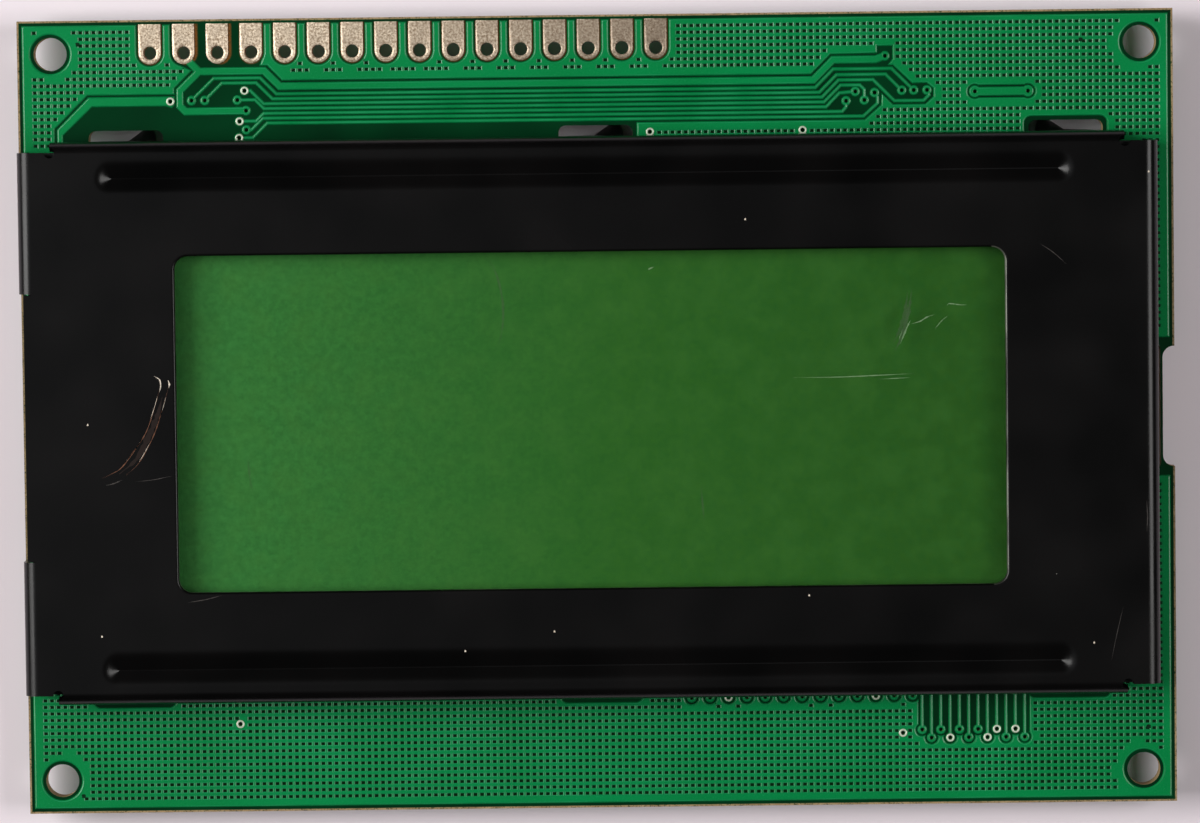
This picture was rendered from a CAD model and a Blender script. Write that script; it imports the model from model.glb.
"""Looks of the character display module: masked board, tinned lands, folded bezel, cell and back side."""
import math

import bmesh
import bpy
import numpy as np
from mathutils import Matrix, Vector
from mathutils.geometry import delaunay_2d_cdt


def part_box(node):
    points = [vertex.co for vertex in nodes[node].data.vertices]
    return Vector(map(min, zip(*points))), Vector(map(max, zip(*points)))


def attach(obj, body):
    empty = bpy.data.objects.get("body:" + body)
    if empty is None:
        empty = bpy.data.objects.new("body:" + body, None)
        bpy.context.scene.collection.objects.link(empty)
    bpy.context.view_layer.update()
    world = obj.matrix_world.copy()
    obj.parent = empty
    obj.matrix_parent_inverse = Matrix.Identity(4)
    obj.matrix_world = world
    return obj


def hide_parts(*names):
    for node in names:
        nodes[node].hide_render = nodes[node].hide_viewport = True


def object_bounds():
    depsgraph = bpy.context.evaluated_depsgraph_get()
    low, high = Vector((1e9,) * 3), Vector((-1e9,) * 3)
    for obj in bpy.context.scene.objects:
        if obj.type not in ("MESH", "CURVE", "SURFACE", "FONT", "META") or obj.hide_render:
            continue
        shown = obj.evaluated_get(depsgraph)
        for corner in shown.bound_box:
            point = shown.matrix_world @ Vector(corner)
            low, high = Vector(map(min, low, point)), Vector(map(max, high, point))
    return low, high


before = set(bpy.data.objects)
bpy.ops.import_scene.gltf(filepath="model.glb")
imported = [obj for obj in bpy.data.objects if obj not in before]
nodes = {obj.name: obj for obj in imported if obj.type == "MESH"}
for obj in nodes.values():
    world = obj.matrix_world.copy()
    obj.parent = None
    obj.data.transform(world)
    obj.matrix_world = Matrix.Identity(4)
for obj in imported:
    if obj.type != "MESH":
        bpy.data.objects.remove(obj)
cad_low, cad_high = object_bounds()

MM = 0.001
BODY = "root"

# heights and middles taken from the frame
board_low, board_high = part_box("board")
bezel_low, bezel_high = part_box("bezel")
COPPER_Z = board_high.z              # top of the masked copper
LAMINATE_Z = COPPER_Z - 0.05 * MM    # top of the bare masked laminate
SKIN_Z = COPPER_Z + 0.04 * MM        # top of the mask that lies on copper
BEZEL_X = (bezel_low.x + bezel_high.x) / 2
BEZEL_Y = (bezel_low.y + bezel_high.y) / 2


# ---------------------------------------------------------------- helpers
def tone(r, g, b):
    """Linear colour from display values of 0 to 255."""
    shares = [c / 255 for c in (r, g, b)]
    return tuple(c / 12.92 if c < 0.04 else ((c + 0.055) / 1.055) ** 2.4 for c in shares) + (1.0,)


def link(thing):
    """Puts an object into the scene."""
    bpy.context.scene.collection.objects.link(thing)


class Graph:
    """Adds nodes to a tree, one call a node: sockets are linked, plain values are set."""

    def __init__(self, tree):
        self.tree = tree

    def add(self, kind, ins=None, **settings):
        node = self.tree.nodes.new(kind)
        for key, value in settings.items():
            setattr(node, key, value)
        for key, value in (ins or {}).items():
            if isinstance(value, bpy.types.NodeSocket):
                self.tree.links.new(value, node.inputs[key])
            else:
                node.inputs[key].default_value = value
        return node

    def first(self, kind, ins=None, **settings):
        """Adds a node and returns its first output."""
        return self.add(kind, ins, **settings).outputs[0]

    def use(self, group_tree, ins):
        """Places a node group and returns its outputs."""
        return self.add("ShaderNodeGroup", ins, node_tree=group_tree).outputs

    def math(self, operation, a, b=0.0, c=0.0):
        return self.first("ShaderNodeMath", {0: a, 1: b, 2: c}, operation=operation)

    def times(self, a, b):
        return self.math("MULTIPLY", a, b)

    def blend(self, share, a, b):
        """Mixes two colours, each a socket or display values."""
        a, b = [tone(*colour) if isinstance(colour, tuple) else colour for colour in (a, b)]
        return self.add("ShaderNodeMix", {0: share, 6: a, 7: b}, data_type="RGBA").outputs[2]

    def ramp(self, value, low, high, at_low=0.0, at_high=1.0):
        """A clamped straight ramp of a value."""
        return self.first("ShaderNodeMapRange", {0: value, 1: low, 2: high, 3: at_low, 4: at_high})

    def sway(self, value, at_low=0.0, at_high=1.0):
        """The usual range of a noise, spread between two values."""
        return self.ramp(value, 0.3, 0.7, at_low, at_high)

    def inside(self, value, low, high, soft):
        """1 between low and high, 0 outside, over a soft edge."""
        rise = self.ramp(value, low - soft, low + soft)
        return self.times(rise, self.ramp(value, high - soft, high + soft, 1.0, 0.0))

    def noise(self, vector, scale, detail=1.0, **more):
        ins = {"Vector": vector, "Scale": scale, "Detail": detail, **more}
        return self.first("ShaderNodeTexNoise", ins)

    def bump(self, height, strength, distance):
        return self.first("ShaderNodeBump", {"Height": height, "Strength": strength, "Distance": distance})

    def axes(self, vector):
        return self.add("ShaderNodeSeparateXYZ", {0: vector}).outputs

    def coated(self, mesh, coat, where=True):
        ins = {"Geometry": mesh, "Selection": where, "Material": coat}
        return self.first("GeometryNodeSetMaterial", ins)


def group(name, ins, outs, build, kind="ShaderNodeTree"):
    """A node group; build(graph, inputs) returns what feeds each output.

    A socket is given by its kind, or an input by its default number."""
    tree = bpy.data.node_groups.new(name, kind)
    for label, given in ins.items():
        kind_of = given if isinstance(given, str) else "Int" if isinstance(given, int) else "Float"
        made = tree.interface.new_socket(name=label, in_out="INPUT", socket_type="NodeSocket" + kind_of)
        if kind_of != given:
            made.default_value = given
    for label, kind_of in outs.items():
        tree.interface.new_socket(name=label, in_out="OUTPUT", socket_type="NodeSocket" + kind_of)
    graph = Graph(tree)
    entry = graph.add("NodeGroupInput")
    leave = graph.add("NodeGroupOutput")
    for label, socket in build(graph, entry.outputs).items():
        tree.links.new(socket, leave.inputs[label])
    return tree


def material(name, build, **fixed):
    """A material round one shader; fixed holds its plain values.

    build gives what varies: the colour, the roughness and, on most, the normal."""
    made = bpy.data.materials.new(name)
    made.use_nodes = True
    made.node_tree.nodes.clear()
    graph = Graph(made.node_tree)
    shader = graph.add("ShaderNodeBsdfPrincipled", {k.replace("_", " "): v for k, v in fixed.items()})
    graph.add("ShaderNodeOutputMaterial", {0: shader.outputs[0]})
    place = graph.add("ShaderNodeTexCoord").outputs["Object"]
    for label, socket in zip(("Base Color", "Roughness", "Normal"), build(graph, place)):
        made.node_tree.links.new(socket, shader.inputs[label])
    return made


# ---------------------------------------------------------------- shared surface effects
def _grain(g, ins):
    """Even fine grain with a slow cloudiness, as a height and as a share for tinting."""
    fine = g.noise(ins["Place"], g.math("DIVIDE", 1.0, ins["Size"]), 2.0, Roughness=0.65)
    slow = g.noise(ins["Place"], g.math("DIVIDE", 1.0, ins["Cloud"]))
    return {"Height": fine, "Cloudiness": slow}


grain = group("grain", {"Place": "Vector", "Size": 0.2 * MM, "Cloud": 10 * MM},
              {"Height": "Float", "Cloudiness": "Float"}, _grain)


def grained(g, place, size, cloud):
    """The fine grain and its slow clouds, with the size of each in millimetres."""
    return g.use(grain, {"Place": place, "Size": size * MM, "Cloud": cloud * MM})


def _dust(g, ins):
    """Sparse round specks of dust, as a mask."""
    spacing = g.math("DIVIDE", 1.0, ins["Spacing"])
    cell = g.add("ShaderNodeTexVoronoi", {"Vector": ins["Place"], "Scale": spacing})
    chance = g.add("ShaderNodeSeparateColor", {0: cell.outputs["Color"]}).outputs
    few = g.math("LESS_THAN", chance[0], ins["Share"])
    near = g.math("LESS_THAN", cell.outputs["Distance"], g.times(chance[1], ins["Radius"]))
    return {"Mask": g.times(few, near)}


dust = group("dust", {"Place": "Vector", "Spacing": 2 * MM, "Share": 0.2, "Radius": 0.05},
             {"Mask": "Float"}, _dust)


# ---------------------------------------------------------------- materials
def _mask_on_copper(g, place):
    fine, slow = grained(g, place, 0.14, 9)
    specks = g.use(dust, {"Place": place, "Spacing": 1.6 * MM, "Share": 0.08, "Radius": 0.05})
    green = g.blend(g.ramp(slow, 0.35, 0.65), (0, 117, 57), (0, 126, 65))
    green = g.blend(g.ramp(fine, 0.3, 0.8, 0.0, 0.25), green, (24, 150, 88))
    green = g.blend(g.times(specks["Mask"], 0.6), green, (190, 210, 190))
    swell = g.noise(place, 0.9 / MM)
    return green, g.sway(fine, 0.20, 0.28), g.bump(swell, 0.2, 0.03 * MM)


MASK = material("mask_on_copper", _mask_on_copper, Specular_IOR_Level=0.18)


def _mask_on_edges(g, place):
    """The mask where it thins over a copper edge, paler than on the flat."""
    fine, slow = grained(g, place, 0.1, 3)
    pale = g.blend(g.sway(slow), (8, 118, 64), (30, 136, 84))
    return pale, g.sway(fine, 0.2, 0.3)


EDGE_MASK = material("mask_on_copper_edges", _mask_on_edges, Specular_IOR_Level=0.3)

PAD_COUNT, PAD_PITCH = 16, 2.54 * MM
FIRST_PAD_X, PAD_Y, PAD_TOP = -33.5 * MM, 27.5 * MM, 29.68 * MM
PAD_HALF = 0.83 * MM                 # half width of a header land
RAGGED = 0.16 * MM                   # width of the rim where cut laminate shows


def _bare_strips(g, x, y):
    """Brown stretches where the mask stands off the lands, widest at the second and third."""
    offset = g.math("SUBTRACT", x, FIRST_PAD_X - PAD_PITCH / 2)
    beside = g.math("SUBTRACT", g.math("MODULO", offset, PAD_PITCH), PAD_PITCH / 2)
    wide = g.inside(offset, PAD_PITCH, 3 * PAD_PITCH, 0.01 * MM)
    beside = g.math("SUBTRACT", beside, g.math("ADD", g.times(wide, 0.17 * MM), 0.02 * MM))
    under = g.math("MINIMUM", g.math("SUBTRACT", y, PAD_Y), 0.0)
    reach = g.math("SQRT", g.math("ADD", g.times(beside, beside), g.times(under, under)))
    near_row = g.inside(offset, 0.0, PAD_COUNT * PAD_PITCH, 0.01 * MM)
    near_row = g.times(near_row, g.ramp(y, PAD_TOP + 0.02 * MM, PAD_TOP - 0.06 * MM))
    return g.times(g.ramp(reach, PAD_HALF + 0.11 * MM, PAD_HALF - 0.03 * MM), near_row)


def _laminate(g, place):
    """The board itself: dark bare mask on top, cut laminate at the edges and in the holes."""
    x, y, z = g.axes(place)
    nz = g.axes(g.add("ShaderNodeNewGeometry").outputs["True Normal"])[2]
    fine, slow = grained(g, place, 0.12, 6)
    stretched = g.first("ShaderNodeMapping", {0: place, "Scale": (0.9 / MM, 0.9 / MM, 9 / MM)})
    fibre = g.noise(stretched, 1.0, 3.0)
    bare = g.blend(g.ramp(slow, 0.35, 0.65), (0, 40, 18), (0, 52, 24))
    sunk = g.blend(fine, (0, 30, 12), (0, 42, 18))
    top = g.blend(g.ramp(z, COPPER_Z - 0.02 * MM, COPPER_Z - 0.01 * MM), bare, sunk)
    strips = g.times(_bare_strips(g, x, y), g.ramp(fine, 0.3, 0.45))
    top = g.blend(strips, top, (108, 68, 30))
    back = g.blend(slow, (4, 118, 60), (8, 130, 68))
    top = g.blend(g.math("LESS_THAN", nz, -0.6), top, back)
    cut = g.blend(fibre, (112, 92, 62), (182, 160, 122))
    side = g.math("LESS_THAN", g.math("ABSOLUTE", nz), 0.6)
    rims = [g.ramp(g.math("ABSOLUTE", way), end - RAGGED, end - RAGGED + 0.04 * MM)
            for way, end in ((x, board_high.x), (y, board_high.y))]
    ragged = g.times(g.math("MAXIMUM", *rims), g.ramp(fine, 0.3, 0.5))
    colour = g.blend(g.math("MAXIMUM", side, ragged), top, cut)
    swell = g.noise(place, 1.5 / MM)
    return colour, g.ramp(side, 0.0, 1.0, 0.28, 0.75), g.bump(swell, 0.25, 0.03 * MM)


LAMINATE = material("masked_laminate", _laminate, Specular_IOR_Level=0.08)


def _sunk_mask(g, place):
    fine, slow = grained(g, place, 0.1, 4)
    return g.blend(fine, (0, 24, 4), (0, 38, 12)), g.ramp(slow, 0.0, 1.0, 0.4, 0.55)


SUNK = material("mask_in_openings", _sunk_mask, Specular_IOR_Level=0.05)


def _tin(g, place):
    """Rough tin with sandy mottling, browner in the holes and duller to the right."""
    fine, slow = grained(g, place, 0.17, 0.9)
    normal = g.axes(g.add("ShaderNodeNewGeometry").outputs["True Normal"])
    flakes = g.add("ShaderNodeTexVoronoi", {"Vector": place, "Scale": 6 / MM}).outputs["Distance"]
    colour = g.blend(g.ramp(fine, 0.36, 0.64), (166, 140, 112), (255, 238, 212))
    colour = g.blend(g.sway(slow, 0.0, 0.5), colour, (196, 178, 156))
    wall = g.math("LESS_THAN", g.math("ABSOLUTE", normal[2]), 0.2)
    barrel = g.times(wall, g.math("LESS_THAN", g.axes(place)[2], LAMINATE_Z))
    colour = g.blend(barrel, colour, (206, 172, 142))
    height = g.math("ADD", fine, g.times(flakes, 0.5))
    dulled = g.ramp(g.axes(place)[0], -24 * MM, 6 * MM, 0.0, 0.78)
    colour = g.blend(dulled, colour, (112, 96, 80))
    return colour, g.sway(fine, 0.30, 0.52), g.bump(height, 0.7, 0.035 * MM)


TIN = material("tinned_copper", _tin, Metallic=0.45)


def _bright_solder(g, place):
    fine, slow = grained(g, place, 0.2, 1)
    colour = g.blend(fine, (176, 190, 168), (232, 238, 218))
    return colour, g.sway(slow, 0.3, 0.45), g.bump(fine, 0.15, 0.01 * MM)


SOLDER = material("bright_solder", _bright_solder, Metallic=0.35)


def _black_paint(g, place):
    """Thin satin paint, brown where it wears off the outermost left folds."""
    x, _, z = g.axes(place)
    fine, slow = grained(g, place, 0.07, 7)
    specks = g.use(dust, {"Place": place, "Spacing": 3.4 * MM, "Share": 0.16, "Radius": 0.022})
    colour = g.blend(g.sway(slow), (3, 3, 3), (7, 6, 6))
    rubbed = g.ramp(x, bezel_low.x + 0.09 * MM, bezel_low.x + 0.02 * MM)
    rubbed = g.times(rubbed, g.ramp(fine, 0.3, 0.6))
    rubbed = g.times(rubbed, g.ramp(z, bezel_high.z - 1.45 * MM, bezel_high.z - 1.05 * MM))
    colour = g.blend(rubbed, colour, (74, 44, 36))
    colour = g.blend(g.times(specks["Mask"], 0.7), colour, (170, 168, 160))
    tumble = g.noise(place, 0.45 / MM, 2.0)
    height = g.math("ADD", fine, g.times(tumble, 2.0))
    return colour, g.sway(slow, 0.22, 0.28), g.bump(height, 0.12, 0.02 * MM)


PAINT = material("black_paint", _black_paint, Specular_IOR_Level=0.26)


def _worn_edge(g, place):
    fine, slow = grained(g, place, 0.12, 2.5)
    colour = g.blend(g.ramp(slow, 0.35, 0.6), (44, 44, 40), (112, 114, 104))
    return colour, g.sway(fine, 0.3, 0.45), g.bump(fine, 0.15, 0.02 * MM)


WORN = material("worn_sheet_edge", _worn_edge, Metallic=0.35, Specular_IOR_Level=0.4)


def _display_field(g, place):
    """The cell with its pebbled reflector, bluish green at the left and olive at the right."""
    x = g.axes(place)[0]
    pebbles = g.add("ShaderNodeTexVoronoi", {"Vector": place, "Scale": 3.2 / MM}).outputs["Distance"]
    fine = grained(g, place, 0.42, 11)[0]
    blotch = g.noise(place, 0.55 / MM, 2.0)
    colour = g.blend(g.ramp(x, -31 * MM, 2 * MM), (56, 125, 60), (43, 97, 29))
    colour = g.blend(g.ramp(x, 2 * MM, 30 * MM), colour, (36, 79, 17))
    colour = g.blend(g.sway(fine, 0.0, 0.42), colour, (22, 80, 30))
    colour = g.blend(g.ramp(blotch, 0.4, 0.7, 0.0, 0.22), colour, (66, 118, 48))
    return colour, g.sway(fine, 0.5, 0.65), g.bump(g.math("ADD", pebbles, fine), 0.35, 0.05 * MM)


FIELD = material("green_display_field", _display_field, Specular_IOR_Level=0.02)
REFLECTOR = material("green_reflector_film", _display_field, Specular_IOR_Level=0.4)


def _clear(g, place):
    fine, slow = grained(g, place, 0.25, 8)
    return g.blend(slow, (60, 120, 60), (80, 130, 70)), g.sway(fine, 0.16, 0.24)


FILM = material("polarizer_film", _clear, Alpha=0.05, Specular_IOR_Level=0.22)
GLASS = material("cell_glass", _clear, Alpha=0.03, Specular_IOR_Level=0.22)


def plain(low, high, rough_low, rough_high, size=0.2, depth=0.3):
    """Builder of a moulded or fired surface between two near tones."""
    def build(g, place):
        fine, slow = grained(g, place, size, 3)
        colour = g.blend(slow, low, high)
        return colour, g.sway(fine, rough_low, rough_high), g.bump(fine, depth, 0.03 * MM)
    return build


DARK_MOULDING = material("dark_moulding", plain((6, 6, 6), (12, 12, 11), 0.5, 0.65), Specular_IOR_Level=0.3)
RUBBER = material("pink_contact_rubber", plain((196, 130, 128), (224, 168, 160), 0.55, 0.7))
EPOXY = material("black_epoxy", plain((9, 9, 9), (17, 16, 15), 0.16, 0.3, 0.9, 0.35))
SEAL = material("cell_sealant", plain((200, 200, 190), (224, 224, 214), 0.4, 0.5))
PLUG = material("yellow_plug_resin", plain((196, 176, 110), (220, 204, 150), 0.25, 0.4))
GLAZE = material("black_resistor_glaze", plain((14, 14, 15), (28, 28, 30), 0.2, 0.35))
CERAMIC = material("tan_capacitor_ceramic", plain((150, 112, 74), (176, 138, 96), 0.35, 0.5))
COATS = {"board": LAMINATE, "pad_": TIN, "bezel": PAINT, "front_polarizer": FILM, "upper_glass": GLASS,
         "cell_seal": SEAL, "end_plug": PLUG, "lower_glass": GLASS, "rear_polarizer": REFLECTOR,
         "zebra_": RUBBER, "inner_frame": DARK_MOULDING, "glob_": EPOXY, "resistor_": GLAZE,
         "capacitor_": CERAMIC}
for name, node in nodes.items():
    coat = next(made for start, made in COATS.items() if name.startswith(start))
    node.data.materials.clear()
    node.data.materials.append(coat)


# ---------------------------------------------------------------- outlines and plain meshes
def outlines(node, level):
    """Closed outlines of a node's upward faces at one height, with the face on the left hand of each."""
    source = bmesh.new()
    source.from_mesh(nodes[node].data)
    bmesh.ops.remove_doubles(source, verts=source.verts, dist=0.0005 * MM)
    flat = dict.fromkeys(f for f in source.faces if f.normal.z > 0.9
                         and all(abs(v.co.z - level) < 0.001 * MM for v in f.verts))
    after = {}
    for face in flat:
        for loop in face.loops:
            if sum(f in flat for f in loop.edge.link_faces) == 1:
                after.setdefault(loop.vert.index, []).append(loop.link_loop_next.vert.index)
    places = {v.index: v.co.copy() for v in source.verts}
    source.free()
    found = []
    for path in walked(after):
        points = np.array([places[i][:2] for i in path])
        step = np.linalg.norm(points - np.roll(points, 1, 0), axis=1)
        points = points[step > 0.004 * MM]
        if len(points) > 2:
            found.append(points)
    return found


def walked(after):
    """Closed walks through a table of where each corner leads next."""
    walks = []
    while after:
        start = next(iter(after))
        path, at = [], start
        while at in after:
            path.append(at)
            onward = after[at].pop()
            if not after[at]:
                del after[at]
            at = onward
            if at == start:
                break
        walks.append(path)
    return walks


def shifted(points, amount):
    """An outline moved to its left hand by an amount, with mitred corners."""
    a = points - np.roll(points, 1, 0)
    b = np.roll(points, -1, 0) - points
    a /= np.linalg.norm(a, axis=1)[:, None]
    b /= np.linalg.norm(b, axis=1)[:, None]
    na, nb = np.c_[-a[:, 1], a[:, 0]], np.c_[-b[:, 1], b[:, 0]]
    turn = np.maximum(1 + (na * nb).sum(1), 0.45)
    return points + amount * (na + nb) / turn[:, None]


def area(points):
    x, y = points[:, 0], points[:, 1]
    return 0.5 * float((x * np.roll(y, -1) - np.roll(x, -1) * y).sum())


def tested(points, loops, test):
    """A test of every point against all edges of closed outlines, some hundred points at a time."""
    starts = np.concatenate(loops)
    ends = np.concatenate([np.roll(loop, -1, 0) for loop in loops])
    blocks = np.array_split(points, max(1, len(points) // 400))
    return np.concatenate([test(block[:, None], starts, ends) for block in blocks])


def within(points, loops):
    """Whether points lie inside closed outlines, by counting crossings."""
    def odd(p, a, b):
        slope = (b - a)[:, 0] / ((b - a)[:, 1] + 1e-15)
        spans = (a[:, 1] > p[..., 1]) != (b[:, 1] > p[..., 1])
        crossed = spans & (p[..., 0] < slope * (p[..., 1] - a[:, 1]) + a[:, 0])
        return crossed.sum(1) % 2 == 1
    return tested(points, loops, odd)


def clearance(points, loops):
    """Signed distance of points from closed outlines, positive inside them."""
    def distance(p, a, b):
        d = b - a
        t = np.clip(((p - a) * d).sum(2) / (d * d).sum(1), 0, 1)
        return np.sqrt(((p - a - t[..., None] * d) ** 2).sum(2).min(1))
    return np.where(within(points, loops), 1, -1) * tested(points, loops, distance)


def triangulated(borders, guides=()):
    """Triangles of the region inside closed borders; guides are lines kept as edges."""
    points, edges = [], []
    for line, closed in [(border, True) for border in borders] + list(guides):
        start = len(points)
        points += [Vector((p[0] / MM, p[1] / MM)) for p in line]
        edges += [(start + i, start + i + 1) for i in range(len(line) - 1)]
        if closed:
            edges.append((start + len(line) - 1, start))
    found = delaunay_2d_cdt(points, edges, [], 0, 1e-6)
    flat = np.array([p[:] for p in found[0]]) * MM
    faces = np.array(found[2])
    a, b, c = flat[faces[:, 0]], flat[faces[:, 1]], flat[faces[:, 2]]
    turn = (b - a)[:, 0] * (c - a)[:, 1] - (b - a)[:, 1] * (c - a)[:, 0]
    faces[turn < 0] = faces[turn < 0][:, ::-1]
    inside = within((a + b + c) / 3, borders)
    return flat, faces[inside & (np.abs(turn) > 1e-16)]


def mesh_of(name, points, faces=(), edges=()):
    made = bpy.data.meshes.new(name)
    corners = [tuple(map(float, p)) for p in points]
    made.from_pydata(corners, list(edges), [tuple(map(int, f)) for f in faces])
    made.update()
    return made


def keep(name, mesh, materials=()):
    """A finished mesh as a piece that rides on the module and takes its finish from a record slot."""
    for made in materials:
        mesh.materials.append(made)
    piece = bpy.data.objects.new(name, mesh)
    link(piece)
    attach(piece, BODY)
    return piece


def grow(tree, base, values):
    """Runs a geometry tree on a mesh and returns the result as a plain mesh."""
    holder = bpy.data.objects.new("seed", base)
    modifier = holder.modifiers.new("grow", "NODES")
    modifier.node_group = tree
    for item in tree.interface.items_tree:
        if item.item_type == "SOCKET" and item.in_out == "INPUT" and item.name in values:
            modifier[item.identifier] = values[item.name]
    link(holder)
    made = bpy.data.meshes.new_from_object(holder.evaluated_get(bpy.context.evaluated_depsgraph_get()))
    bpy.data.objects.remove(holder)
    return made


def arc(centre, radius, start, end, steps):
    """Points along an arc, angles in degrees."""
    turns = np.radians(np.linspace(start, end, steps + 1))
    return np.c_[centre[0] + radius * np.cos(turns), centre[1] + radius * np.sin(turns)]


def rounded_rectangle(centre, half_x, half_y, radius, steps=8):
    """Counter-clockwise outline of a rectangle with round corners."""
    x, y = half_x - radius, half_y - radius
    corners = [(x, y, 0), (-x, y, 90), (-x, -y, 180), (x, -y, 270)]
    return np.concatenate([arc((centre[0] + out_x, centre[1] + out_y), radius, turn, turn + 90, steps)
                           for out_x, out_y, turn in corners])


# ---------------------------------------------------------------- folded bezel
SHEET, BEND = 0.5 * MM, 0.95 * MM
FACE_Z = bezel_high.z - 0.005 * MM               # leaves room for the scratches on the face
HALF_X, HALF_Y = 42.6 * MM, 21.1 * MM            # half size over the folds
FLAT_X, FLAT_Y = HALF_X - BEND, HALF_Y - BEND    # where the bends start
LONG_HALF, SIDE_HALF = 40.1 * MM, 20.35 * MM     # half lengths of the long and the side flanges
BITE = 0.42 * MM
ARC = BEND * math.pi / 2
WALL = FACE_Z - BEND - COPPER_Z                  # straight part of a flange
RAW_X = 42.21 * MM                               # raw edge of the stretch without a flange
RAW_LOW, RAW_HIGH, SLIT = -10.3 * MM, 9.8 * MM, 0.08 * MM
WINDOW = (0.1 * MM, -0.08 * MM)
WINDOW_HALF_X, WINDOW_HALF_Y, WINDOW_R, ROLL = 31 * MM, 12.6 * MM, 1.0 * MM, 0.16 * MM
RIB_SPINES = (18.35 * MM, -18.5 * MM)
RIB_SHIFT, RIB_HALF, RIB_END = -0.2 * MM, 35.3 * MM, 1.3 * MM
RIB_UP, RIB_DOWN, RIB_DEPTH = 1.55 * MM, 1.2 * MM, 0.4 * MM
RIB_LIP = 0.45                                   # share of a rib's side that rounds into the face
TAB_X = (-35.4 * MM, 0.0, 35.4 * MM)
TAB_HALF, TAB_TWIST = 2.1 * MM, math.radians(36)
TAB_TURNS = {1: (1, 1, -1), -1: (-1, -1, 1)}     # turn of each tab on the upper and on the lower side
TAB_STRAIGHT = COPPER_Z + 0.1 * MM               # part of a tab inside the board's slot
TAB_TWISTED = -bezel_low.z - 0.1 * MM
WORN_FROM_X = 25 * MM                            # the window's rolled edge is worn from here on
BEND_STEPS, TWIST_STEPS = 9, 9


def rib_depth(u, v):
    """Depth of the two pressed ribs under the face: straight-sided valleys with rounded lips and ends."""
    slope = 1 / (1 - RIB_LIP / 2)
    deep = np.zeros_like(u)
    for spine in RIB_SPINES:
        across = np.where(v > spine, (v - spine) / RIB_UP, (spine - v) / RIB_DOWN)
        along = np.maximum(np.abs(u - RIB_SHIFT) - RIB_HALF, 0) / RIB_END
        t = np.clip(np.hypot(across, along), 0, 1)
        straight = 1 - slope * t
        lip = slope * (1 - t) ** 2 / (2 * RIB_LIP)
        deep += RIB_DEPTH * np.where(t < 1 - RIB_LIP, straight, lip)
    return deep


def window_gap(u, v):
    """Distance outwards from the window's edge."""
    x = np.abs(u - WINDOW[0]) - (WINDOW_HALF_X - WINDOW_R)
    y = np.abs(v - WINDOW[1]) - (WINDOW_HALF_Y - WINDOW_R)
    return np.hypot(np.maximum(x, 0), np.maximum(y, 0)) + np.minimum(np.maximum(x, y), 0) - WINDOW_R


def folded(u, v, deep):
    """Where points of the flat blank end up, a depth inside the sheet: bends, ribs and twisted tabs."""
    on_side = np.abs(u) > LONG_HALF
    raw = (u < -FLAT_X) & (v > RAW_LOW + SLIT / 2) & (v < RAW_HIGH - SLIT / 2)
    main = np.where(on_side, u, v)
    past = np.where(raw, 0.0, np.maximum(np.abs(main) - np.where(on_side, FLAT_X, FLAT_Y), 0))
    turn = np.minimum(past, ARC) / BEND
    wall = np.maximum(past - ARC, 0)
    reach = np.minimum(np.abs(main), np.where(raw, np.abs(main), np.where(on_side, FLAT_X, FLAT_Y)))
    out = np.sign(main) * (reach + BEND * np.sin(turn) - deep * np.sin(turn))
    z = FACE_Z - BEND * (1 - np.cos(turn)) - wall - deep * np.cos(turn) - rib_depth(u, v)
    gap = np.clip(window_gap(u, v), 0, ROLL)
    z -= np.where(deep > 0, 0.0, ROLL - np.sqrt(ROLL ** 2 - (ROLL - gap) ** 2))
    x, y = np.where(on_side, out, u), np.where(on_side, v, out)
    below = wall - WALL - TAB_STRAIGHT
    for side, turns in TAB_TURNS.items():
        for middle, way in zip(TAB_X, turns):
            at = middle - BEZEL_X
            mine = (below > 0) & ~on_side & (np.sign(v) == side) & (np.abs(u - at) < TAB_HALF * 1.01)
            angle = way * TAB_TWIST * below / TAB_TWISTED
            a, b = u - at, SHEET / 2 - deep
            x = np.where(mine, at + a * np.cos(angle) - side * b * np.sin(angle), x)
            plane = side * (HALF_Y - SHEET / 2)
            y = np.where(mine, plane + a * np.sin(angle) + side * b * np.cos(angle), y)
    return np.c_[x + BEZEL_X, y + BEZEL_Y, z]


def tab_outline(side, tabs, long_end, tab_end):
    """Corners of the tabs along one long flange of the flat blank."""
    points = []
    for middle in tabs:
        near, far = middle - BEZEL_X + side * TAB_HALF, middle - BEZEL_X - side * TAB_HALF
        root, tip = side * long_end, side * tab_end
        points += [(near, root), (near, tip), (far, tip), (far, root)]
    return points


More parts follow.
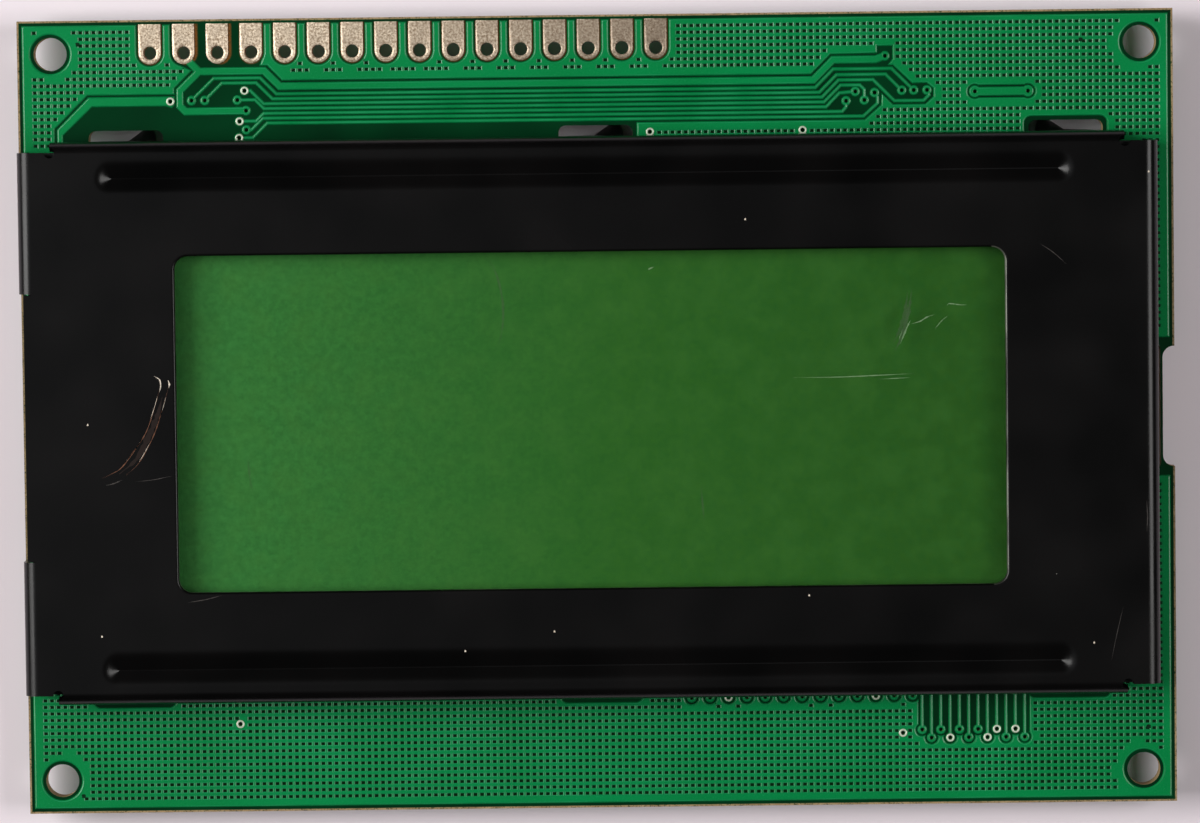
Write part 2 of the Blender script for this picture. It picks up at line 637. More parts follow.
def blank_outline():
    """The flat blank before folding, counter-clockwise from the right flange."""
    side_end, long_end = FLAT_X + ARC + WALL, FLAT_Y + ARC + WALL
    tab_end = long_end + TAB_STRAIGHT + TAB_TWISTED
    points = [(side_end, -SIDE_HALF), (side_end, SIDE_HALF)]
    points += list(arc((LONG_HALF, SIDE_HALF), BITE, 0, -270, 12))
    points.append((LONG_HALF, long_end))
    points += tab_outline(1, reversed(TAB_X), long_end, tab_end)
    points.append((-LONG_HALF, long_end))
    points += list(arc((-LONG_HALF, SIDE_HALF), BITE, 90, -180, 12))
    points += [(-side_end, SIDE_HALF), (-side_end, RAW_HIGH), (-FLAT_X, RAW_HIGH)]
    points += [(-FLAT_X, RAW_HIGH - SLIT), (-RAW_X, RAW_HIGH - SLIT)]
    points += [(-RAW_X, RAW_LOW + SLIT), (-FLAT_X, RAW_LOW + SLIT)]
    points += [(-FLAT_X, RAW_LOW), (-side_end, RAW_LOW), (-side_end, -SIDE_HALF)]
    points += list(arc((-LONG_HALF, -SIDE_HALF), BITE, 180, -90, 12))
    points.append((-LONG_HALF, -long_end))
    points += tab_outline(-1, TAB_X, long_end, tab_end)
    points.append((LONG_HALF, -long_end))
    points += list(arc((LONG_HALF, -SIDE_HALF), BITE, 270, 0, 12))
    return np.array(points)


def rib_contour(spine, t):
    """Closed line round a rib where its side stands at one share t of its width."""
    turns = np.radians(np.linspace(-90, 90, 13))
    reach = np.where(turns > 0, RIB_UP, RIB_DOWN)
    out, up = RIB_HALF + RIB_END * t * np.cos(turns), spine + reach * t * np.sin(turns)
    return np.concatenate([np.c_[RIB_SHIFT + out, up], np.c_[RIB_SHIFT - out[::-1], up[::-1]]])


def bezel_guides():
    """Lines kept as edges: bends, rib contours, the rolled window edge and the twisted tabs."""
    guides = []
    bends = [-0.1 * MM] + [ARC * k / BEND_STEPS for k in range(BEND_STEPS + 1)]
    for past in bends:
        for sign in (-1, 1):
            x, y = sign * (FLAT_X + past), sign * (FLAT_Y + past)
            guides.append(([(-LONG_HALF, y), (LONG_HALF, y)], False))
            guides.append(([(x, -SIDE_HALF), (x, SIDE_HALF)], False))
    for spine in RIB_SPINES:
        guides.append(([(RIB_SHIFT - RIB_HALF, spine), (RIB_SHIFT + RIB_HALF, spine)], False))
        guides += [(rib_contour(spine, t), True) for t in (0.05, 0.25, 0.5, 0.6, 0.7, 0.8, 0.9, 1.0, 1.08)]
    for gap in (0.1 * ROLL, 0.3 * ROLL, 0.6 * ROLL, ROLL, 1.6 * ROLL):
        around = rounded_rectangle(WINDOW, WINDOW_HALF_X + gap, WINDOW_HALF_Y + gap, WINDOW_R + gap)
        guides.append((around, True))
    start = FLAT_Y + ARC + WALL + TAB_STRAIGHT
    for middle in TAB_X:
        at = middle - BEZEL_X
        for k in range(TWIST_STEPS + 1):
            down = start + TAB_TWISTED * k / TWIST_STEPS
            for y in (-down, down):
                guides.append(([(at - TAB_HALF, y), (at + TAB_HALF, y)], False))
    return guides


def fold_bezel():
    """The bezel as one folded sheet with smooth faces and square-cut edges."""
    window = rounded_rectangle(WINDOW, WINDOW_HALF_X, WINDOW_HALF_Y, WINDOW_R)
    flat, faces = triangulated([blank_outline(), window], bezel_guides())
    n = len(flat)
    u, v = flat[:, 0], flat[:, 1]
    outer, inner = folded(u, v, np.zeros(n)), folded(u, v, np.full(n, SHEET))
    directed = {(int(f[i]), int(f[(i + 1) % 3])) for f in faces for i in range(3)}
    cut = [(a, b) for a, b in directed if (b, a) not in directed]
    walls = [(a + 2 * n, a + 3 * n, b + 3 * n, b + 2 * n) for a, b in cut]
    skins = list(faces) + list(faces[:, ::-1] + n)
    mesh = mesh_of("folded_bezel", np.concatenate([outer, inner] * 2), skins + walls)
    spare = bmesh.new()
    spare.from_mesh(mesh)
    bmesh.ops.delete(spare, geom=[v for v in spare.verts if not v.link_faces], context="VERTS")
    spare.to_mesh(mesh)
    spare.free()
    mesh.polygons.foreach_set("use_smooth", [i < len(skins) for i in range(len(mesh.polygons))])
    middles = flat[faces].mean(1)
    rolled = (window_gap(*middles.T) < ROLL * 0.62) & (middles[:, 0] > WORN_FROM_X)
    at_window = [abs(window_gap(u[a:a + 1], v[a:a + 1])[0]) < 0.01 * MM for a, b in cut]
    worn = list(rolled) + [False] * len(faces) + at_window
    mesh.polygons.foreach_set("material_index", [int(w) for w in worn])
    return mesh


bezel = keep("folded_bezel", fold_bezel(), [PAINT, WORN])
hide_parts("bezel")

# ---------------------------------------------------------------- display cell
SEAL_WIDTH = 1.6 * MM
lower_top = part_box("lower_glass")[1].z
upper_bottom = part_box("upper_glass")[0].z
seal_low, seal_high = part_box("cell_seal")


def prism(n):
    """Faces between two outlines of n corners that lie opposite each other."""
    sides = [(i, i + n, (i + 1) % n + n, (i + 1) % n) for i in range(n)]
    return [tuple(range(n)), tuple(range(2 * n - 1, n - 1, -1))] + sides


seal_middle = ((seal_low.x + seal_high.x) / 2, (seal_low.y + seal_high.y) / 2)
crystal = rounded_rectangle(seal_middle, (seal_high.x - seal_low.x) / 2 - SEAL_WIDTH,
                            (seal_high.y - seal_low.y) / 2 - SEAL_WIDTH, 0.6 * MM)
corners = [(*p, z) for z in (upper_bottom - 0.004 * MM, lower_top + 0.004 * MM) for p in crystal]
keep("liquid_crystal", mesh_of("liquid_crystal", corners, prism(len(crystal))), [FIELD])

# ---------------------------------------------------------------- mask over the edges of the copper
HOLE_RING_AREA, HOLE_RING_WIDTH = -7 * MM * MM, 4 * MM


def is_hole_ring(loop):
    """The wide clearances round the mounting holes, where the mask comes closer in."""
    return area(loop) < HOLE_RING_AREA and np.ptp(loop[:, 0]) < HOLE_RING_WIDTH


copper = [shifted(loop, -0.12 * MM) if is_hole_ring(loop) else loop
          for loop in outlines("board", COPPER_Z)]
# section of the mask down a copper edge: inset from the edge, height
SHOULDER = ((0.10 * MM, SKIN_Z), (0.03 * MM, SKIN_Z - 0.02 * MM), (-0.035 * MM, LAMINATE_Z + 0.002 * MM))
DRILL_RIM = ((0.05 * MM, SKIN_Z), (0.02 * MM, SKIN_Z - 0.01 * MM), (-0.01 * MM, LAMINATE_Z))
DRILL_AREA = 0.09 * MM * MM

rim_points, rim_faces, rim_coats, pour_borders = [], [], [], []
for loop in copper:
    section = DRILL_RIM if -DRILL_AREA < area(loop) < 0 else SHOULDER
    n, start = len(loop), len(rim_points)
    for inset, height in section:
        rim_points += [(*p, height) for p in shifted(loop, inset)]
    for row in (start, start + n):
        rim_faces += [(row + i, row + n + i, row + n + (i + 1) % n, row + (i + 1) % n) for i in range(n)]
        rim_coats += [int(row == start and section is SHOULDER)] * n
    pour_borders.append(shifted(loop, section[0][0]))
shoulders = mesh_of("mask_shoulders", rim_points, rim_faces)
shoulders.polygons.foreach_set("material_index", rim_coats)
keep("mask_shoulders", shoulders, [MASK, EDGE_MASK])

# ---------------------------------------------------------------- ground pour with its grid of openings
PITCH = 0.5 * MM
FIRST_X, FIRST_Y = -42.2 * MM, -28.9 * MM
COLUMNS, ROWS = 170, 117
OPENING_MARGIN = 0.36 * MM                       # least distance of an opening's middle from a copper edge
HOLE_X, HOLE_Y = 41 * MM, 27.5 * MM              # mounting holes
FREE_INWARDS, FREE_OUTWARDS = 2.25 * MM, 1.95 * MM   # radius without openings round a mounting hole
ROW_Y = PAD_Y - 1.75 * MM                        # the openings above it come in groups between the lands
ROW_LEFT, ROW_RIGHT, ROW_GAP = -24.5 * MM, 6 * MM, 0.45 * MM
across, up = FIRST_X + PITCH * np.arange(COLUMNS), FIRST_Y + PITCH * np.arange(ROWS)
centres = np.stack(np.meshgrid(across, up, indexing="ij"), -1)
x, y = centres[..., 0], centres[..., 1]
shown = (np.abs(y - BEZEL_Y) > HALF_Y - 0.5 * MM) | (x > HOLE_X)
good = np.zeros((COLUMNS, ROWS), bool)
good[shown] = clearance(centres[shown], copper) > OPENING_MARGIN
from_land = np.abs((x - FIRST_PAD_X + PAD_PITCH / 2) % PAD_PITCH - PAD_PITCH / 2)
good &= ~((y > ROW_Y) & (x > ROW_LEFT) & (x < ROW_RIGHT) & (from_land < ROW_GAP))
from_hole = np.hypot(np.abs(x) - HOLE_X, np.abs(y) - HOLE_Y)
good &= from_hole > np.where(np.abs(x) > HOLE_X, FREE_OUTWARDS, FREE_INWARDS)


def square_loops(good):
    """Outlines of the cells of a grid, with the cells on the right hand, as lists of corner numbers."""
    cells = {(int(i), int(j)) for i, j in np.argwhere(good)}
    after = {}
    for i, j in cells:
        ring = [(i, j), (i + 1, j), (i + 1, j + 1), (i, j + 1)]
        for k, other in enumerate([(i, j - 1), (i + 1, j), (i, j + 1), (i - 1, j)]):
            if other not in cells:
                after.setdefault(ring[(k + 1) % 4], []).append(ring[k])
    return walked(after)


for path in square_loops(good):
    pour_borders.append((FIRST_X, FIRST_Y) + (np.array(path) - 0.5) * PITCH)
pour_flat, pour_faces = triangulated(pour_borders)
pour_points = np.c_[pour_flat, np.full(len(pour_flat), SKIN_Z)]
keep("masked_pour", mesh_of("masked_pour", pour_points, pour_faces), [MASK])


def _openings(g, ins):
    """Sets a square of pour with a sloped opening on every point of the grid."""
    tile = g.first("GeometryNodeMeshGrid", {"Size X": ins["Pitch"], "Size Y": ins["Pitch"],
                                            "Vertices X": 2, "Vertices Y": 2})
    border = g.add("GeometryNodeExtrudeMesh", {"Mesh": tile, "Offset Scale": 0.0}, mode="FACES").outputs
    mesh = border["Mesh"]
    for axis, way in (("X", (1.0, 0.0, 0.0)), ("Y", (0.0, 1.0, 0.0))):
        mesh = g.first("GeometryNodeScaleElements",
                       {"Geometry": mesh, "Selection": border["Top"], "Scale": ins["Opening share " + axis],
                        "Axis": way}, scale_mode="SINGLE_AXIS")
    mesh = g.coated(mesh, ins["Mask"])
    down = g.first("ShaderNodeCombineXYZ", {"Z": g.times(ins["Depth"], -1.0)})
    pit = g.add("GeometryNodeExtrudeMesh", {"Mesh": mesh, "Selection": border["Top"], "Offset": down,
                                            "Offset Scale": 1.0}, mode="FACES").outputs
    mesh = g.first("GeometryNodeScaleElements", {"Geometry": pit["Mesh"], "Selection": pit["Top"],
                                                 "Scale": ins["Floor share"]})
    mesh = g.coated(mesh, ins["Slope"], pit["Side"])
    mesh = g.coated(mesh, ins["Floor"], pit["Top"])
    mesh = g.first("GeometryNodeSetShadeSmooth", {"Geometry": mesh, "Shade Smooth": False})
    tiles = g.first("GeometryNodeInstanceOnPoints", {"Points": ins["Spots"], "Instance": mesh})
    return {"Geometry": g.first("GeometryNodeRealizeInstances", {0: tiles})}


openings_tree = group("pour_openings", {
    "Spots": "Geometry", "Pitch": PITCH, "Opening share X": 0.84, "Opening share Y": 0.66,
    "Depth": 0.037 * MM, "Floor share": 0.66, "Mask": "Material", "Slope": "Material",
    "Floor": "Material"}, {"Geometry": "Geometry"}, _openings, "GeometryNodeTree")

grid_points = mesh_of("grid_points", [(*p, SKIN_Z) for p in centres[good]])
coats = {"Mask": MASK, "Slope": EDGE_MASK, "Floor": SUNK}
keep("pour_openings", grow(openings_tree, grid_points, coats))


# ---------------------------------------------------------------- solder on the lands and vias
def _set_out(g, ins):
    """Stands a copy of a shape on every point, each with its own slight height."""
    shape = g.add("GeometryNodeObjectInfo", {"Object": ins["Shape"]}).outputs["Geometry"]
    least = g.math("SUBTRACT", 1.0, ins["Spread"])
    rise = g.add("FunctionNodeRandomValue", {2: least, 3: 1.0, "Seed": ins["Seed"]}, data_type="FLOAT")
    scale = g.first("ShaderNodeCombineXYZ", {"X": 1.0, "Y": 1.0, "Z": rise.outputs[1]})
    copies = g.first("GeometryNodeInstanceOnPoints", {"Points": ins["Spots"], "Instance": shape,
                                                      "Scale": scale})
    real = g.first("GeometryNodeRealizeInstances", {0: copies})
    smooth = g.first("GeometryNodeSetShadeSmooth", {"Geometry": real})
    return {"Geometry": g.coated(smooth, ins["Metal"])}


set_out_tree = group("set_out_on_points", {
    "Spots": "Geometry", "Shape": "Object", "Spread": 0.3, "Seed": 5, "Metal": "Material"},
    {"Geometry": "Geometry"}, _set_out, "GeometryNodeTree")


def set_out(name, shape_mesh, spots, level, metal):
    """A piece made of copies of one shape, set out at one level on points in millimetres."""
    shape = bpy.data.objects.new("shape", shape_mesh)
    spots = mesh_of("spots", [(x * MM, y * MM, level) for x, y in spots])
    mesh = grow(set_out_tree, spots, {"Shape": shape, "Metal": metal})
    bpy.data.objects.remove(shape)
    keep(name, mesh)


def ring_coat(inner, outer, rise, foot, turns=20):
    """A solder ring of rounded section round a hole, reaching a foot below the surface."""
    shoulder = (outer - inner) * 0.3
    section = [(inner, -foot), (inner, 0.3 * rise), (inner + 0.4 * shoulder, 0.85 * rise),
               (inner + shoulder, rise), (outer - shoulder, rise), (outer - 0.4 * shoulder, 0.7 * rise),
               (outer, 0.0), (outer, -foot)]
    points = [(r * math.cos(t), r * math.sin(t), z)
              for t in np.linspace(0, 2 * math.pi, turns, endpoint=False) for r, z in section]
    n = len(section)
    faces = []
    for i in range(turns):
        a, b = i * n, (i + 1) % turns * n
        faces += [(a + k, a + k + 1, b + k + 1, b + k) for k in range(n - 1)]
    return mesh_of("ring", points, faces)


def land_coat():
    """The domed tin on one header land: a tongue with a round end and a hole through it."""
    top = PAD_TOP - PAD_Y
    hole, edge, lip = 0.5 * MM, 0.16 * MM, 0.22 * MM
    dome, bead, bead_radius, bead_width = 0.045 * MM, 0.03 * MM, 0.66 * MM, 0.12 * MM

    def tongue(inset):
        r = PAD_HALF - inset
        return np.concatenate([arc((0, 0), r, -180, 0, 16), [(r, top - inset), (-r, top - inset)]])

    def ring(radius):
        return arc((0, 0), radius, 0, -360, 28)[:-1]

    guides = [(tongue(edge * s), True) for s in (0.15, 0.4, 0.7, 1.0)]
    guides += [(ring(hole + lip * s), True) for s in (0.15, 0.4, 0.7)]
    flat, faces = triangulated([tongue(0), ring(hole)], guides)
    from_middle = np.hypot(*flat.T)
    from_edge = clearance(flat, [tongue(0)]).clip(0, edge) / edge
    from_hole = ((from_middle - hole) / lip).clip(0, 1)
    height = dome * np.sqrt(1 - (1 - from_edge) ** 2) * np.sqrt(1 - (1 - from_hole) ** 2)
    height += bead * from_edge * np.exp(-((from_middle - bead_radius) / bead_width) ** 2)
    return mesh_of("land", np.c_[flat, height], faces)


pad_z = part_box("pad_01")[1].z - 0.002 * MM
pad_spots = [((FIRST_PAD_X + i * PAD_PITCH) / MM, PAD_Y / MM) for i in range(PAD_COUNT)]
set_out("tinned_lands", land_coat(), pad_spots, pad_z, TIN)

# vias in millimetres: a row half under the bezel and the fan of tracks at the lower right
ROW_VIAS = [(6.78 + 1.395 * i, -21.72) for i in range(12)]
FAN_VIAS = [(24.23 + 0.706 * i, (-24.35, -24.97)[i % 2]) for i in range(12)]
VIA_HOLE = 0.17 * MM
bright_vias = [(-32.0, 23.85), (-26.4, 24.6), (-26.8, 22.3), (-26.85, 21.05), (4.1, 21.15), (15.6, 21.15),
               (22.77, -24.57), (-27.44, -23.33)]
bright_vias += [ROW_VIAS[i] for i in (2, 10)] + [FAN_VIAS[i] for i in (3, 7, 8, 10)]
set_out("tinned_vias", ring_coat(VIA_HOLE, 0.315 * MM, 0.04 * MM, 0.09 * MM), bright_vias, SKIN_Z,
        SOLDER)

# ---------------------------------------------------------------- back side
def _tracks(g, ins):
    """Low rounded ridges of masked copper along paths, with eased corners."""
    paths = g.first("GeometryNodeMeshToCurve", {"Mesh": ins["Paths"]})
    paths = g.first("GeometryNodeFilletCurve", {"Curve": paths, "Count": 2, "Radius": ins["Corner"],
                                                "Limit Radius": True}, mode="POLY")
    half = g.times(ins["Width"], 0.5)
    profile = g.first("GeometryNodeCurvePrimitiveCircle", {"Resolution": 8, "Radius": half})
    ridge = g.first("GeometryNodeCurveToMesh", {"Curve": paths, "Profile Curve": profile,
                                                "Fill Caps": True})
    flat = g.first("ShaderNodeCombineXYZ", {"X": 1.0, "Y": 1.0, "Z": ins["Flatness"]})
    level = g.first("ShaderNodeCombineXYZ", {"Z": ins["Level"]})
    ridge = g.first("GeometryNodeTransform", {"Geometry": ridge, "Translation": level, "Scale": flat})
    ridge = g.first("GeometryNodeRealizeInstances", {0: ridge})
    return {"Geometry": g.coated(ridge, ins["Mask"])}


tracks_tree = group("tracks_along_paths", {
    "Paths": "Geometry", "Width": 0.28 * MM, "Corner": 0.4 * MM, "Flatness": 0.32,
    "Level": board_low.z, "Mask": "Material"}, {"Geometry": "Geometry"}, _tracks, "GeometryNodeTree")


def middle_of(node):
    """Middle of a node's box in millimetres."""
    low_corner, high_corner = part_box(node)
    return ((low_corner.x + high_corner.x) / 2 / MM, (low_corner.y + high_corner.y) / 2 / MM)


# in millimetres
UNDER_DOME = 4.0                     # how far from a dome's middle its tracks end, hidden under the epoxy
PAD_COLUMNS, BUS_LANES = 0.62, 0.7   # pitches of the header's tracks and of those between the chips
PAD_RIM_Y, HEADER_TURN_Y, HEADER_STEP, HEADER_SPLIT = 26.6, 25.5, 0.3, 3
controller = middle_of("glob_controller")
drivers = sorted(middle_of(node) for node in nodes if node.startswith("glob_driver_"))
back_paths = []
for i in range(PAD_COUNT):
    pad_x = (FIRST_PAD_X + i * PAD_PITCH) / MM
    column = controller[0] + (i - 7.5) * PAD_COLUMNS
    rank = i - HEADER_SPLIT - 1 if i > HEADER_SPLIT else HEADER_SPLIT - i
    run_y = HEADER_TURN_Y - HEADER_STEP * rank
    dome_y = controller[1] + UNDER_DOME
    back_paths.append([(pad_x, PAD_RIM_Y), (pad_x, run_y), (column, run_y), (column, dome_y)])
for i in range(10):
    lane = controller[1] + (i - 4.5) * BUS_LANES
    back_paths.append([(controller[0] + UNDER_DOME, lane), (drivers[1][0] - UNDER_DOME, lane)])
for chip, vias, pitch, first_turn, turn_step in ((drivers[0], ROW_VIAS, 0.55, -19.9, 0.38),
                                                 (drivers[1], FAN_VIAS, 0.5, -14.6, 0.4)):
    for i, via in enumerate(vias):
        start_x = chip[0] + (i - 5.5) * pitch
        turn_y = first_turn + turn_step * i
        back_paths.append([(start_x, chip[1] - UNDER_DOME), (start_x, turn_y), (via[0], turn_y), via])
points, edges = [], []
for path in back_paths:
    start = len(points)
    points += [(x * MM, y * MM, 0) for x, y in path]
    edges += [(start + k, start + k + 1) for k in range(len(path) - 1)]
keep("back_tracks", grow(tracks_tree, mesh_of("paths", points, edges=edges), {"Mask": EDGE_MASK}))

back_ring = ring_coat(VIA_HOLE, 0.33 * MM, 0.035 * MM, 0.02 * MM)
back_ring.transform(Matrix.Rotation(math.pi, 4, "X"))
set_out("back_via_rings", back_ring, ROW_VIAS + FAN_VIAS, board_low.z, SOLDER)


def chip_ends(node, along_x):
    """Tin caps and hollow solder fillets at both ends of a chip on the back side."""
    low_corner, high_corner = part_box(node)
    middle = (low_corner + high_corner) / 2
    size = high_corner - low_corner
    length, width = (size.x, size.y) if along_x else (size.y, size.x)
    cap, skin, corner, foot = 0.36 * MM, 0.02 * MM, 0.04 * MM, 0.34 * MM
    rise, end = size.z + skin, length / 2 + skin
    section = [(end - cap, 0), (end - cap, rise), (end - corner, rise), (end, rise - corner),
               (end, 0.6 * rise), (end + 0.05 * MM, 0.36 * rise), (end + 0.15 * MM, 0.16 * rise),
               (end + foot, 0.03 * rise), (end + foot, 0)]
    n = len(section)
    half = width / 2 + skin
    points = [(across, out, -up) for across in (-half, half) for out, up in section]
    points += [(-x, -y, z) for x, y, z in points]
    faces = prism(n) + [tuple(k + 2 * n for k in face) for face in prism(n)]
    if along_x:
        points = [(y, -x, z) for x, y, z in points]
    name = "ends_of_" + node
    mesh = mesh_of(name, [(x + middle.x, y + middle.y, z + board_low.z) for x, y, z in points], faces)
    solid = bmesh.new()
    solid.from_mesh(mesh)
    bmesh.ops.recalc_face_normals(solid, faces=solid.faces)
    solid.to_mesh(mesh)
    solid.free()
    keep(name, mesh, [SOLDER])


for name in nodes:
    if name.startswith(("resistor_", "capacitor_")):
        chip_ends(name, name.startswith("capacitor_"))

# ---------------------------------------------------------------- scratches, chips and dimples
DIMPLE = material("dimpled_mask", plain((0, 30, 12), (0, 46, 22), 0.3, 0.5), Specular_IOR_Level=0.1)
PALE_SCRATCH = material("bared_metal_scratch", plain((196, 180, 160), (236, 226, 210), 0.3, 0.5))
BROWN_SCRATCH = material("brown_scratch", plain((74, 42, 26), (122, 74, 44), 0.4, 0.6))
FAINT_SCRATCH = material("faint_scratch", plain((38, 34, 31), (60, 54, 50), 0.4, 0.6))
DULL_RUB = material("dull_brown_rub", plain((20, 12, 9), (32, 19, 14), 0.5, 0.7), Specular_IOR_Level=0.2)
FILM_SCRATCH = material("film_scratch", plain((150, 196, 140), (190, 222, 176), 0.4, 0.6), Alpha=0.32)
FILM_SMEAR = material("film_smear", plain((128, 176, 118), (160, 200, 142), 0.5, 0.7), Alpha=0.085)


def stroke(points, width, rng, steps=7, taper=0.35):
    """Two rows of corners along a curve through hand-set points, thin and ragged at the ends."""
    p = np.array(points, float)
    p = np.concatenate([[2 * p[0] - p[1]], p, [2 * p[-1] - p[-2]]])
    line = []
    for before, here, after, beyond in zip(p, p[1:], p[2:], p[3:]):
        a, b = 2 * here, after - before
        c = 2 * before - 5 * here + 4 * after - beyond
        d = 3 * here - before - 3 * after + beyond
        for t in np.linspace(0, 1, steps, endpoint=False):
            line.append(0.5 * (a + b * t + c * t * t + d * t ** 3))
    line = np.array(line + [p[-2]])
    along = np.gradient(line, axis=0)
    along /= np.linalg.norm(along, axis=1)[:, None]
    share = np.linspace(0, 1, len(line))
    half = width / 2 * np.clip(np.minimum(share, 1 - share) / taper, 0.12, 1)
    half = half * rng.uniform(0.45, 1.25, len(line))
    out = np.c_[-along[:, 1], along[:, 0]] * half[:, None]
    return np.concatenate([line + out, line - out]) * MM


def strokes(name, lines, z, coats):
    """One piece of many scratches; each line is (coat number, width, points), all in millimetres."""
    rng = np.random.default_rng(11)
    points, faces, numbers = [], [], []
    for coat, width, path in lines:
        strip = stroke(path, width, rng)
        n, start = len(strip) // 2, len(points)
        points += [(*p, z) for p in strip]
        faces += [(start + i, start + n + i, start + n + i + 1, start + i + 1) for i in range(n - 1)]
        numbers += [coat] * (n - 1)
    mesh = mesh_of(name, points, faces)
    mesh.polygons.foreach_set("material_index", numbers)
    keep(name, mesh, coats)


# coat 0 bare metal, 1 brown, 2 faint, 3 dull rub
BEZEL_MARKS = [
    (0, 0.10, [(-33.2, 3.4), (-32.8, 3.15), (-32.7, 2.7), (-32.8, 2.2)]),
    (1, 0.07, [(-32.8, 2.4), (-33.1, 1.3), (-33.8, -0.7), (-34.7, -2.1), (-35.7, -3.4), (-36.5, -3.9),
               (-37.2, -4.2)]),
    (0, 0.05, [(-32.95, 1.9), (-33.15, 1.2), (-33.5, 0.2)]),
    (0, 0.05, [(-34.0, -1.1), (-34.7, -2.1), (-35.3, -2.9)]),
    (0, 0.12, [(-32.15, 3.1), (-32.05, 2.8), (-32.1, 2.5)]),
    (1, 0.06, [(-32.1, 2.6), (-32.4, 1.6), (-32.7, 0.6), (-33.1, -0.6), (-33.5, -1.5), (-34.1, -2.6),
               (-34.6, -3.3), (-35.4, -4.0)]),
    (0, 0.045, [(-32.3, 1.9), (-32.6, 0.9), (-32.9, 0.0)]),
    (0, 0.045, [(-33.3, -1.1), (-33.9, -2.2), (-34.4, -3.0)]),
    (3, 0.5, [(-32.6, 1.8), (-33.0, 0.4), (-33.7, -1.2), (-34.6, -2.8), (-35.9, -3.9)]),
    (2, 0.10, [(-36.9, -4.75), (-36.3, -4.6), (-35.7, -4.35)]),
    (2, 0.06, [(-34.7, -4.5), (-33.3, -4.35), (-32.0, -4.1)]),
    (2, 0.07, [(-30.9, -13.6), (-29.6, -13.4), (-28.4, -13.1)]),
    (2, 0.07, [(40.9, -6.8), (40.95, -8.0), (40.9, -9.1)]),
    (2, 0.05, [(39.1, -14.7), (38.6, -16.8), (38.2, -18.7)]),
    (2, 0.06, [(33.1, 12.5), (34.0, 11.9), (35.0, 11.0)])]
ON_FACE = bezel_high.z - 0.002 * MM
strokes("bezel_scratches", BEZEL_MARKS, ON_FACE,
        [PALE_SCRATCH, BROWN_SCRATCH, FAINT_SCRATCH, DULL_RUB])

# coat 0 scratch, 1 smear
FILM_MARKS = [
    (1, 0.34, [(23.5, 9.2), (23.3, 7.8), (22.9, 6.3), (22.4, 4.9)]),
    (1, 0.34, [(23.2, 9.0), (23.0, 7.6), (22.6, 6.2), (22.1, 5.2)]),
    (1, 0.26, [(23.35, 8.4), (23.1, 6.9), (22.7, 5.6), (22.2, 4.6)]),
    (0, 0.15, [(23.4, 6.9), (23.1, 6.3), (22.6, 5.1)]),
    (0, 0.10, [(22.8, 6.2), (22.5, 5.4)]),
    (0, 0.09, [(23.4, 6.6), (24.1, 6.8), (24.6, 7.1), (25.2, 7.3)]),
    (0, 0.07, [(25.2, 6.2), (25.7, 6.8), (26.2, 7.2)]),
    (0, 0.08, [(26.1, 7.9), (26.3, 8.1), (27.1, 8.0), (27.6, 8.0)]),
    (0, 0.08, [(14.6, 2.7), (18.0, 2.7), (21.0, 2.8), (23.6, 2.9)]),
    (0, 0.06, [(21.0, 2.5), (23.3, 2.6)]),
    (1, 0.16, [(-8.2, 12.1), (-7.5, 10.6), (-7.1, 8.8), (-7.1, 6.9), (-7.5, 5.0)]),
    (1, 0.14, [(-26.3, -2.7), (-26.2, -4.2), (-26.0, -5.5)]),
    (1, 0.14, [(7.6, -5.3), (7.8, -8.0)]),
    (0, 0.16, [(3.8, 10.9), (4.0, 11.0), (4.25, 11.1)])]
on_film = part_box("front_polarizer")[1].z + 0.003 * MM
strokes("film_scratches", FILM_MARKS, on_film, [FILM_SCRATCH, FILM_SMEAR])


def flake(radius, corners, rng):
    """A thin ragged chip lying flat."""
    turns = np.linspace(0, 2 * math.pi, corners, endpoint=False)
    reach = radius * rng.uniform(0.6, 1.15, corners)
    edge = np.c_[reach * np.cos(turns), reach * np.sin(turns), 0 * turns]
    return mesh_of("flake", edge, [range(corners)])


chance = np.random.default_rng(3)
CHIPS = [(-38.2, -0.2), (-3.5, -16.1), (15.6, -13.6), (-10.2, -17.5), (11.1, 14.6), (41.2, 17.8),
         (36.9, -17.4), (-37.4, -16.1)]
DIMPLES = [(-38.9, 28.2), (36.6, 27.7), (41.4, -24.3), (-39.4, -28.7)]
set_out("bezel_chips", flake(0.09 * MM, 9, chance), CHIPS, ON_FACE, PALE_SCRATCH)
set_out("mask_dimples", flake(0.19 * MM, 14, chance), DIMPLES, SKIN_Z + 0.002 * MM, DIMPLE)

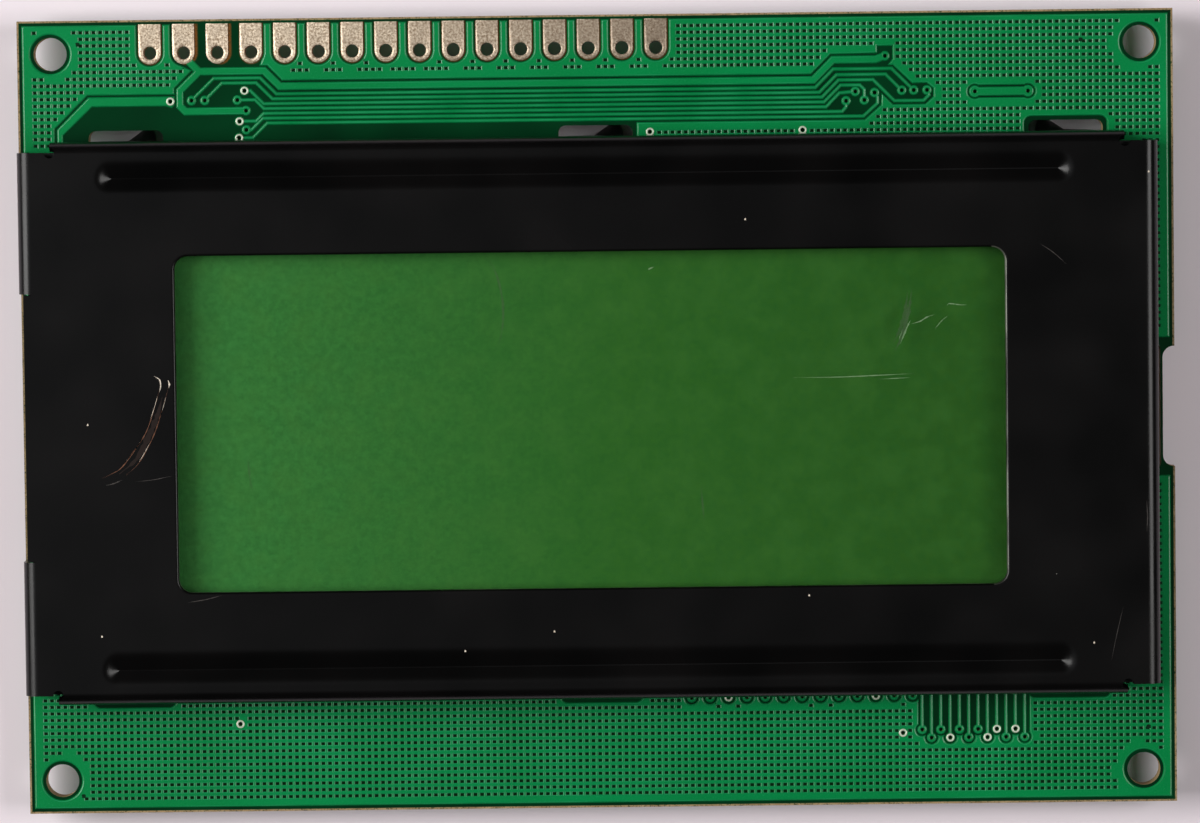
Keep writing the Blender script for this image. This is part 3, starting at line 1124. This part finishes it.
# ---------------------------------------------------------------- stage
floor_corners = [(x, y, cad_low.z) for x, y in ((-3, -3), (3, -3), (3, 3), (-3, 3))]
floor_mesh = mesh_of("floor", floor_corners, [(0, 1, 2, 3)])
floor = bpy.data.objects.new("floor", floor_mesh)


def _paper(g, place):
    fine, slow = grained(g, place, 0.4, 20)
    return g.blend(slow, (229, 219, 226), (235, 225, 232)), g.ramp(fine, 0.0, 1.0, 0.7, 0.8)


floor_mesh.materials.append(material("pale_floor", _paper))
link(floor)


def lamp(name, place, size, power):
    """A soft rectangular lamp that faces the module."""
    data = bpy.data.lights.new(name, "AREA")
    data.shape, data.size, data.size_y = "RECTANGLE", size[0], size[1]
    data.energy, data.color = power, (1.0, 0.985, 0.97)
    made = bpy.data.objects.new(name, data)
    made.location = place
    made.rotation_mode = "QUATERNION"
    made.rotation_quaternion = (-Vector(place)).to_track_quat("-Z", "Y")
    link(made)


lamp("left_softbox", (-0.46, 0.10, 0.40), (0.36, 0.42), 4.05)
lamp("right_softbox", (0.40, 0.02, 0.49), (0.30, 0.30), 1.75)

world = bpy.data.worlds.new("studio")
world.use_nodes = True
sky = Graph(world.node_tree)
side, depth, height = sky.axes(sky.add("ShaderNodeTexCoord").outputs["Generated"])
glow = sky.times(sky.ramp(side, -0.30, 0.085, 1.0, 0.0), sky.inside(depth, -0.24, 0.26, 0.12))
glow = sky.times(glow, sky.ramp(height, 0.6, 0.9))
background = world.node_tree.nodes["Background"]
background.inputs["Color"].default_value = (0.96, 0.97, 1.0, 1.0)
strength = sky.math("ADD", 0.035, sky.times(glow, 0.56))
world.node_tree.links.new(strength, background.inputs["Strength"])
bpy.context.scene.world = world

camera_data = bpy.data.cameras.new("camera")
camera_data.sensor_width = 36.0
camera_data.lens = 171.78
camera_data.clip_start, camera_data.clip_end = 0.01, 20.0
camera = bpy.data.objects.new("camera", camera_data)
camera.location = (0.00167, 0.02551, 0.4335)
camera.rotation_euler = (-0.05884, 0.00297, -0.01185)
link(camera)
bpy.context.scene.camera = camera
bpy.context.scene.view_settings.view_transform = "Standard"
